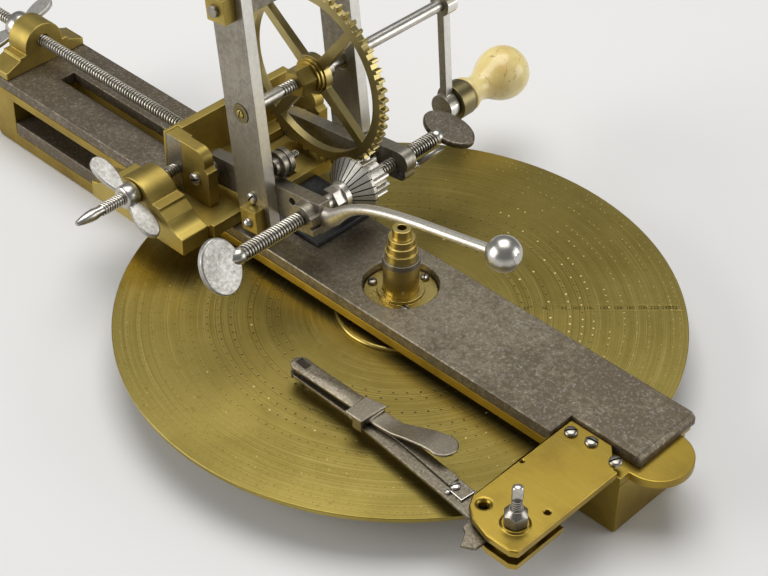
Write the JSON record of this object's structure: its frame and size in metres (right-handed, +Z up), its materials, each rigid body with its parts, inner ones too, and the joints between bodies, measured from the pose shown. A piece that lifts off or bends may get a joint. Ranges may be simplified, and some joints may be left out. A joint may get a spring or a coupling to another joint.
{
  "type": "wheel cutting engine",
  "caption": "Hand-cranked wheel cutting engine: brass dividing plate and arbor on a slotted bed, index arm, and a swinging cutter frame driven through gears on a screw-fed slide.",
  "frame": {"origin": "on the dividing axis, at the underside of the bed", "axes": "+X along the bed towards the index bracket, +Y across the bed towards the crank, +Z up along the work arbor"},
  "size_m": [0.5005, 0.3157, 0.1849],
  "materials": {
    "brass": "aged, satin",
    "steel": "worn, lightly stained",
    "blued_steel": "blued",
    "bone": "polished, yellowed"
  },
  "bodies": {
    "bed": {"lower_frame_brass": "brass", "lower_bar_steel": "steel", "front_end_block": "brass", "upper_bar_brass": "brass", "upper_bar_steel": "steel", "bearing_flange": "brass", "footstep_bearing": "brass", "frame_screws": "steel", "leadscrew_block": "brass", "index_bracket_top": "brass", "index_bracket_bottom": "brass", "index_stud": "steel"},
    "dividing_head": {"dividing_plate": "brass", "plate_collar": "brass", "work_arbor": "brass", "arbor_ring": "steel"},
    "index_lock": {"index_nut": "steel"},
    "index": {"index_arm": "steel"},
    "index_detent": {"index_spring": "steel", "thumb_lever": "steel"},
    "carriage": {"saddle": "brass", "cross_screw_block": "brass", "leadscrew": "steel", "saddle_tongue": "blued_steel", "saddle_keeper": "brass"},
    "lead_nut": {"leadscrew_wing_nut": "steel"},
    "cross_nut": {"cross_wing_nut": "steel"},
    "cross_slide": {"cross_plate": "brass", "cross_nut_block": "steel", "pivot_cocks": "brass", "pivot_screws": "steel", "cross_screw": "steel"},
    "swing_frame": {"front_upright": "steel", "back_upright": "steel", "front_arm": "steel", "back_arm": "steel", "top_tie_bar": "steel", "tie_nuts": "brass", "swing_screws": "steel", "foot_blocks": "brass", "drive_bushes": "brass", "ball_lever": "steel", "depth_stop": "steel", "lock_stud": "steel"},
    "lock_ring": {"lock_nut": "steel"},
    "drive": {"drive_arbor": "steel", "drive_wheel": "brass", "wheel_nut": "brass", "wheel_collar": "steel", "crank_arm": "steel"},
    "handle": {"ferrule": "brass", "knob": "bone"},
    "spindle": {"cutter_arbor": "steel", "cutter": "steel", "pinion": "steel"},
    "front_center": {"front_center_screw": "steel"},
    "back_center": {"back_center_screw": "steel"},
    "back_clamp": {"back_clamp_screw": "steel"}
  },
  "joints": [
    {"name": "plate_turn", "type": "hinge", "parent": "bed", "child": "dividing_head", "pos_m": [0, 0, 0.0233], "axis": [0, 0, 1], "continuous": true},
    {"name": "index_nut_turn", "type": "hinge", "parent": "bed", "child": "index_lock", "pos_m": [0.142, -0.0786, 0.042], "axis": [0, 0, 1], "continuous": true},
    {"name": "index_swing", "type": "hinge", "parent": "bed", "child": "index", "pos_m": [0.142, -0.0786, 0.0325], "axis": [0, 0, 1], "range_deg": [-14, 35]},
    {"name": "detent_lift", "type": "hinge", "parent": "index", "child": "index_detent", "pos_m": [0.104, -0.075, 0.0336], "axis": [0.0767, 0.9971, 0], "range_deg": [0, 3.5], "stiffness_Nm_per_rad": 0.6, "springref_deg": -5.73},
    {"name": "saddle_travel", "type": "slide", "parent": "bed", "child": "carriage", "axis": [1, 0, 0], "range_m": [-0.085, 0.014]},
    {"name": "lead_nut_turn", "type": "hinge", "parent": "bed", "child": "lead_nut", "pos_m": [-0.294, 0, 0.0554], "axis": [1, 0, 0], "continuous": true},
    {"name": "cross_travel", "type": "slide", "parent": "carriage", "child": "cross_slide", "axis": [0, 1, 0], "range_m": [-0.0075, 0.006]},
    {"name": "cross_nut_turn", "type": "hinge", "parent": "carriage", "child": "cross_nut", "pos_m": [-0.1285, -0.0634, 0.0582], "axis": [0, 1, 0], "continuous": true},
    {"name": "frame_swing", "type": "hinge", "parent": "cross_slide", "child": "swing_frame", "pos_m": [-0.1134, 0.01185, 0.06], "axis": [0, -1, 0], "range_deg": [0, 24]},
    {"name": "lock_nut_turn", "type": "hinge", "parent": "swing_frame", "child": "lock_ring", "pos_m": [-0.07216, -0.012, 0.08103], "axis": [0, 1, 0], "continuous": true},
    {"name": "crank_turn", "type": "hinge", "parent": "swing_frame", "child": "drive", "pos_m": [-0.08314, 0.01185, 0.11137], "axis": [0, 1, 0], "continuous": true},
    {"name": "handle_spin", "type": "hinge", "parent": "drive", "child": "handle", "pos_m": [-0.078, 0.15, 0.05019], "axis": [0, 1, 0], "continuous": true},
    {"name": "spindle_spin", "type": "hinge", "parent": "swing_frame", "child": "spindle", "pos_m": [-0.04491, 0.01185, 0.06841], "axis": [0, 1, 0], "continuous": true},
    {"name": "front_center_turn", "type": "hinge", "parent": "swing_frame", "child": "front_center", "pos_m": [-0.04491, -0.04, 0.06841], "axis": [0, 1, 0], "continuous": true},
    {"name": "back_center_turn", "type": "hinge", "parent": "swing_frame", "child": "back_center", "pos_m": [-0.04491, 0.06, 0.06841], "axis": [0, 1, 0], "continuous": true},
    {"name": "back_clamp_turn", "type": "hinge", "parent": "swing_frame", "child": "back_clamp", "pos_m": [-0.03922, 0.05, 0.06468], "axis": [0, 1, 0], "range_deg": [-30, 30]}
  ],
  "couplings": [
    {"joint": "spindle_spin", "follows": "crank_turn", "ratio": -4.8333},
    {"joint": "lead_nut_turn", "follows": "saddle_travel", "rad_per_m": -3141.6},
    {"joint": "cross_nut_turn", "follows": "cross_travel", "rad_per_m": -4188.8}
  ]
}
